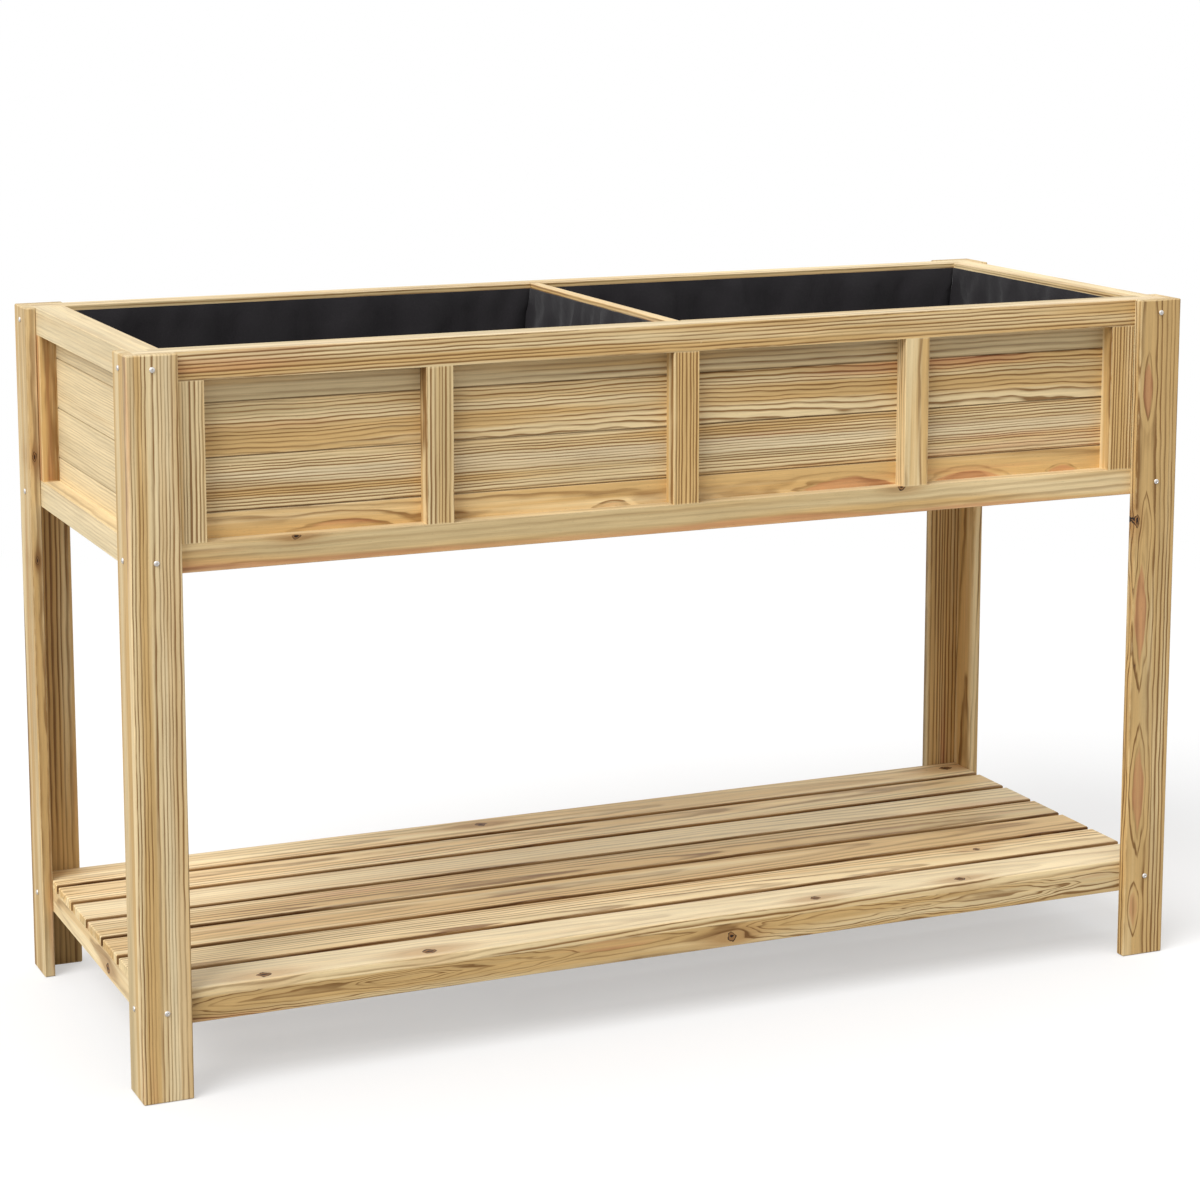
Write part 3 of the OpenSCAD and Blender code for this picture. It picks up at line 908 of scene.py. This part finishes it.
def settle_cloth(cloth, low, high, seed):
    """Lets the bag hang from its top edge with a little slack, so that it creases by itself."""
    rng = random.Random(seed)
    held = high.z - 1 * MM
    for v in cloth.data.vertices:
        if v.co.z < held:
            v.co += Vector(rng.uniform(-0.4, 0.4) * MM for _ in range(3))
    top = cloth.vertex_groups.new(name="stapled edge")
    top.add([v.index for v in cloth.data.vertices if v.co.z > held], 1.0, "ADD")
    walls = wall_round(low - Vector((0.4, 0.4, 0.4)) * MM, high + Vector((0.4, 0.4, 0)) * MM)
    pick(cloth)
    bpy.ops.object.modifier_add(type="CLOTH")
    fleece = cloth.modifiers[-1]
    rules = fleece.settings
    rules.quality = 6
    rules.mass = 0.08
    rules.tension_stiffness = rules.compression_stiffness = 12
    rules.shear_stiffness = 6
    rules.bending_stiffness = 1.2
    rules.vertex_group_mass = "stapled edge"
    rules.pin_stiffness = 1
    rules.shrink_min = rules.shrink_max = -0.035
    fleece.collision_settings.distance_min = 0.6 * MM
    fleece.collision_settings.use_self_collision = False
    last = 26
    fleece.point_cache.frame_start, fleece.point_cache.frame_end = 1, last
    for number in range(1, last + 1):
        bpy.context.scene.frame_set(number)
    bpy.ops.object.modifier_apply(modifier=fleece.name)
    bpy.context.scene.frame_set(1)
    for wall in walls:
        bpy.data.objects.remove(wall)


def hem_and_thicken(cloth, low, high):
    """Keeps the cloth inside the boards, folds a hem down behind its top edge and thickens it."""
    liner = bpy.context.scene.planter_liner
    half, layer = liner.thickness / 2, liner.thickness * 1.1
    middle, reach = (low + high) / 2, (high - low) / 2
    pick(cloth)
    bpy.ops.object.mode_set(mode="EDIT")
    mesh = bmesh.from_edit_mesh(cloth.data)
    for v in mesh.verts:
        # the hem needs room for a second layer, which grows over a short way below it
        hemmed = (v.co.z - high.z + liner.hem * 1.4) / (liner.hem * 0.4)
        room = half + layer * min(max(hemmed, 0.0), 1.0)
        for axis in (0, 1):
            limit = reach[axis] - room
            v.co[axis] = middle[axis] + min(max(v.co[axis] - middle[axis], -limit), limit)
        v.co.z = min(max(v.co.z, low.z + half), high.z - half)
    bmesh.update_edit_mesh(cloth.data)
    bpy.context.tool_settings.mesh_select_mode = (False, True, False)
    bpy.ops.mesh.select_all(action="DESELECT")
    for e in mesh.edges:
        e.select = e.is_boundary
    bpy.ops.mesh.extrude_edges_move()
    mesh = bmesh.from_edit_mesh(cloth.data)
    by_wall = 9 * MM
    for v in mesh.verts:
        if v.select:
            for axis in (0, 1):
                if abs(v.co[axis] - middle[axis]) > reach[axis] - by_wall:
                    v.co[axis] += math.copysign(layer, v.co[axis] - middle[axis])
    bmesh.update_edit_mesh(cloth.data)
    for drop in (liner.hem / 2, liner.hem / 2):
        bpy.ops.mesh.extrude_edges_move(TRANSFORM_OT_translate={"value": (0, 0, -drop)})
    bpy.ops.object.mode_set(mode="OBJECT")
    bpy.ops.object.shade_smooth()
    modify(cloth, "SOLIDIFY", thickness=liner.thickness, offset=0)
    bpy.ops.object.shade_smooth_by_angle(angle=math.radians(50))


def hang_liner(node, name, seed, material):
    """Makes one liner's cloth, hangs it in its half of the box and gives it its finish."""
    low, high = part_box(node)
    cloth, cells = cloth_grid(low, high)
    cloth.name = cloth.data.name = name
    fold_up(cloth, low, high, cells)
    settle_cloth(cloth, low, high, seed)
    hem_and_thicken(cloth, low, high)
    settle(cloth, material)
    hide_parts(node)


# Screws


def zinc_material():
    """Bright zinc plating, slightly mottled and faintly brushed."""
    material, w, shader = new_material("screw_zinc")
    where = w.add("TexCoord").outputs["Object"]
    cloud = w.noise(where, (700, 700, 700), 3.0, 0.6)
    brushed = w.noise(where, (2600, 2600, 300), 2.0)
    tone = w.spread(cloud, 0.24, 0.84)
    zinc = linear(bpy.context.scene.planter_screws.zinc)
    w.fill(
        shader,
        {
            "Base Color": w.mix(1.0, zinc, w.join(tone, tone, w.times(tone, 1.01)), "MULTIPLY"),
            "Roughness": w.spread(cloud, 0.20, 0.38),
            "Normal": w.bump(brushed, 0.15, 0.05),
            "Metallic": 1.0,
        },
    )
    return material


def drawn(points, name):
    """A line through these points, drawn one after the other from a single vertex."""
    deselect()
    bpy.ops.mesh.primitive_plane_add(size=MM, location=(0, 0, 0))
    piece = bpy.context.object
    piece.name = name
    bpy.ops.object.mode_set(mode="EDIT")
    bpy.context.tool_settings.mesh_select_mode = (True, False, False)
    bpy.ops.mesh.select_all(action="SELECT")
    bpy.ops.mesh.merge(type="CENTER")
    place = Vector()
    for number, point in enumerate(points):
        step = Vector(point) - place
        place = Vector(point)
        if number:
            bpy.ops.mesh.extrude_vertices_move(TRANSFORM_OT_translate={"value": step})
        else:
            bpy.ops.transform.translate(value=step)
    return piece


def screw_shape():
    """One pan head screw, its axis along Z and the underside of its head at nought."""
    sizes = bpy.context.scene.planter_screws
    wide, high = sizes.head_width / 2, sizes.head_height
    shank, thread, length = sizes.shank_width / 2, sizes.thread_width / 2, sizes.length
    rim = 0.35 * high
    tip = 4 * MM - length
    dome = [
        (wide * math.cos(a), 0, rim + (high - rim) * math.sin(a))
        for a in (math.radians(12 * k) for k in range(8))
    ]
    profile = [
        (0, 0, -length),
        (shank, 0, tip),
        (shank, 0, -0.6 * MM),
        (thread, 0, -0.1 * MM),
        (wide - 0.3 * MM, 0, 0),
        (wide, 0, 0.25 * MM),
        *dome,
        (0, 0, high),
    ]
    screw = drawn(profile, "pan_head_screw")
    bpy.ops.mesh.select_all(action="SELECT")
    bpy.ops.mesh.spin(steps=36, angle=2 * math.pi, center=(0, 0, 0), axis=(0, 0, 1))
    bpy.ops.mesh.select_all(action="SELECT")
    bpy.ops.mesh.remove_doubles(threshold=0.01 * MM)
    bpy.ops.mesh.normals_make_consistent(inside=False)
    bpy.ops.object.mode_set(mode="OBJECT")

    # a recess of two arms that taper downwards: half length and half width as shares of the
    # head's radius, level as a share of its height
    cross = []
    for turn in (0, 1):
        bpy.ops.mesh.primitive_cube_add(size=1, location=(0, 0, high))
        arm = bpy.context.object
        bpy.ops.object.mode_set(mode="EDIT")
        mesh = bmesh.from_edit_mesh(arm.data)
        for v in mesh.verts:
            far, side, level = (0.20, 0.09, -0.62) if v.co.z < 0 else (0.62, 0.15, 0.30)
            x, y = math.copysign(wide * far, v.co.x), math.copysign(wide * side, v.co.y)
            v.co = Vector((x, y, level * high))
            if turn:
                v.co.x, v.co.y = -v.co.y, v.co.x
        bmesh.update_edit_mesh(arm.data)
        bpy.ops.object.mode_set(mode="OBJECT")
        cross.append(arm)
    for arm in cross:
        pick(screw)
        modify(screw, "BOOLEAN", operation="DIFFERENCE", solver="EXACT", object=arm)
        bpy.data.objects.remove(arm)

    pitch = 1.5 * MM
    root, crest, end = shank * 0.9, tip + 0.30 * pitch, tip + 0.60 * pitch
    ridge = drawn(((root, 0, tip), (thread, 0, crest), (root, 0, end)), "thread")
    bpy.ops.object.mode_set(mode="OBJECT")
    turns = int((length - 6 * MM) / pitch)
    modify(
        ridge, "SCREW", axis="Z", steps=14, render_steps=14, iterations=turns, screw_offset=pitch
    )
    pick(screw, ridge)
    bpy.ops.object.join()
    bpy.ops.object.shade_smooth_by_angle(angle=math.radians(35))
    return screw


def screw_places():
    """Where each screw's head lies, and which way it faces."""
    inset = 27 * MM  # of the end faces' screws, from the front or rear face
    rails = ("shelf_front_rail", "front_bottom_rail", "front_top_rail")
    shelf_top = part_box("shelf_slat_1")[1].z
    heights = []
    for rail in rails:
        low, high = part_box(rail)
        top = shelf_top if rail == "shelf_front_rail" else high.z
        heights.append((low.z + top) / 2)
    low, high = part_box("front_left_post_face")
    side = (low.x + high.x) / 2
    for x in (-1, 1):
        for y in (-1, 1):
            for z in heights:
                yield Vector((x * abs(side), y * abs(low.y), z)), Vector((0, y, 0))
                yield Vector((x * abs(low.x), y * (abs(low.y) - inset), z)), Vector((x, 0, 0))


class PLANTER_OT_posts(bpy.types.Operator):
    """Give the eight post boards their fir"""

    bl_idname = "planter.posts"
    bl_label = "Corner posts"

    def execute(self, context):
        dress("_post_face", "_post_side")
        return {"FINISHED"}


class PLANTER_OT_frames(bpy.types.Operator):
    """Give the box's rails and stiles their fir"""

    bl_idname = "planter.frames"
    bl_label = "Rails and stiles"

    def execute(self, context):
        dress("_top_rail", "_bottom_rail", "stile")
        return {"FINISHED"}


class PLANTER_OT_boards(bpy.types.Operator):
    """Give the wall boards and the divider their fir"""

    bl_idname = "planter.boards"
    bl_label = "Wall boards and divider"

    def execute(self, context):
        dress("_board_", "divider")
        return {"FINISHED"}


class PLANTER_OT_floor(bpy.types.Operator):
    """Give the floor of the box its fir"""

    bl_idname = "planter.floor"
    bl_label = "Floor of the box"

    def execute(self, context):
        dress("floor_bearers", "floor_slats")
        return {"FINISHED"}


class PLANTER_OT_shelf(bpy.types.Operator):
    """Give the shelf's slats, rails and bearers their fir"""

    bl_idname = "planter.shelf"
    bl_label = "Shelf"

    def execute(self, context):
        dress("shelf_")
        return {"FINISHED"}


class PLANTER_OT_liners(bpy.types.Operator):
    """Hang a cloth liner in each half of the box"""

    bl_idname = "planter.liners"
    bl_label = "Liners"

    def execute(self, context):
        material = cloth_material()
        hang_liner("liner_left", "liner_left_cloth", 11, material)
        hang_liner("liner_right", "liner_right_cloth", 23, material)
        return {"FINISHED"}


class PLANTER_OT_screws(bpy.types.Operator):
    """Drive three screws into each post board"""

    bl_idname = "planter.screws"
    bl_label = "Screws"

    def execute(self, context):
        pattern = screw_shape()
        rng = random.Random(5)
        copies = []
        for place, out in screw_places():
            copy = pattern.copy()
            copy.data = pattern.data.copy()
            context.scene.collection.objects.link(copy)
            turn = Matrix.Rotation(rng.uniform(0, math.pi / 2), 4, "Z")
            copy.matrix_world = (
                Matrix.Translation(place) @ out.to_track_quat("Z", "Y").to_matrix().to_4x4() @ turn
            )
            copies.append(copy)
        bpy.data.objects.remove(pattern)
        pick(*copies)
        bpy.ops.object.transform_apply(location=True, rotation=True, scale=True)
        bpy.ops.object.join()
        screws = context.object
        screws.name = screws.data.name = "pan_head_screws"
        settle(screws, zinc_material())
        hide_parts("post_screws")
        return {"FINISHED"}


class PLANTER_OT_stage(bpy.types.Operator):
    """Set up the floor, the lamps and the camera"""

    bl_idname = "planter.stage"
    bl_label = "Stage"

    def execute(self, context):
        stage = context.scene.planter_stage
        deselect()
        under_feet = -0.4 * MM
        bpy.ops.mesh.primitive_plane_add(size=16, location=(0, 0, under_feet))
        floor = context.object
        floor.name = "stage_floor"
        material, w, shader = new_material("stage_floor")
        # the floor that the camera sees fades to white, and bounce is what it throws back
        where = w.add("TexCoord").outputs["Object"]
        far = w.vector("LENGTH", w.vector("MULTIPLY", where, (1, 1, 0)))
        ray = w.add("LightPath").outputs["Is Camera Ray"]
        fade = w.step(far, 0.75, 2.6, 0.45, 1.0)
        seen = w.mix(ray, linear(stage.bounce), linear(stage.floor))
        w.fill(shader, {"Base Color": seen, "Roughness": 0.9, "Specular IOR Level": 0.1})
        glow = w.add("Emission")
        share = w.times(fade, ray)
        blend = w.feed_all(w.add("MixShader"), (share, shader.outputs[0], glow.outputs[0]))
        w.feed(w.tree.nodes["Material Output"].inputs["Surface"], blend.outputs[0])
        floor.data.materials.append(material)

        world = bpy.data.worlds.new("studio")
        world.use_nodes = True
        context.scene.world = world
        w = Wiring(world.node_tree)
        # white to the camera and in reflections, and as bright as the sky for all other light
        path = w.add("LightPath").outputs
        seen = w.larger(path["Is Camera Ray"], path["Is Glossy Ray"])
        seen = w.larger(seen, path["Is Transmission Ray"])
        strength = w.step(seen, 0.0, 1.0, stage.sky, 1.0)
        back = world.node_tree.nodes["Background"]
        w.fill(back, {"Color": (1, 1, 1, 1), "Strength": strength})

        place, middle = Vector((-2.66, -1.46, 3.41)), Vector((0, 0, 0.4))
        turn = (middle - place).to_track_quat("-Z", "Y").to_euler()
        bpy.ops.object.light_add(type="SUN", location=place, rotation=turn)
        key = context.object
        key.name = "key"
        key.data.energy = stage.sun
        key.data.angle = math.radians(40)

        bpy.ops.object.camera_add(
            location=stage.place,
            rotation=(math.pi / 2 - stage.dip, 0, -stage.turn),
        )
        camera = context.object
        camera.data.lens = stage.lens
        camera.data.sensor_width = 36
        camera.data.shift_y = stage.shift
        context.scene.camera = camera

        context.scene.view_settings.view_transform = "Standard"
        return {"FINISHED"}


class PLANTER_PT_parts(bpy.types.Panel):
    """Makes the planter piece by piece"""

    bl_idname = "PLANTER_PT_parts"
    bl_label = "Planter"
    bl_space_type = "VIEW_3D"
    bl_region_type = "UI"
    bl_category = "Planter"

    def draw(self, context):
        for title, name, group, operators in PANEL:
            box = self.layout.box()
            box.label(text=title)
            for setting in group.__annotations__:
                box.prop(getattr(context.scene, name), setting)
            for operator in operators:
                box.operator(operator.bl_idname)


WOOD = PLANTER_OT_posts, PLANTER_OT_frames, PLANTER_OT_boards, PLANTER_OT_floor, PLANTER_OT_shelf
# The panel's boxes: title, name of the settings in the scene, their group, operators
PANEL = (
    ("Wood", "planter_wood", PlanterWood, WOOD),
    ("Liners", "planter_liner", PlanterLiner, (PLANTER_OT_liners,)),
    ("Screws", "planter_screws", PlanterScrews, (PLANTER_OT_screws,)),
    ("Stage", "planter_stage", PlanterStage, (PLANTER_OT_stage,)),
)
CLASSES = [made for _, _, group, operators in PANEL for made in (group, *operators)]
CLASSES.append(PLANTER_PT_parts)


def register():
    for made in CLASSES:
        bpy.utils.register_class(made)
    for _, name, group, _ in PANEL:
        setattr(bpy.types.Scene, name, bpy.props.PointerProperty(type=group))


def unregister():
    for _, name, _, _ in PANEL:
        delattr(bpy.types.Scene, name)
    for made in reversed(CLASSES):
        bpy.utils.unregister_class(made)


def main():
    register()
    bpy.ops.planter.posts()
    bpy.ops.planter.frames()
    bpy.ops.planter.boards()
    bpy.ops.planter.floor()
    bpy.ops.planter.shelf()
    bpy.ops.planter.liners()
    bpy.ops.planter.screws()
    bpy.ops.planter.stage()


if __name__ == "__main__":
    main()
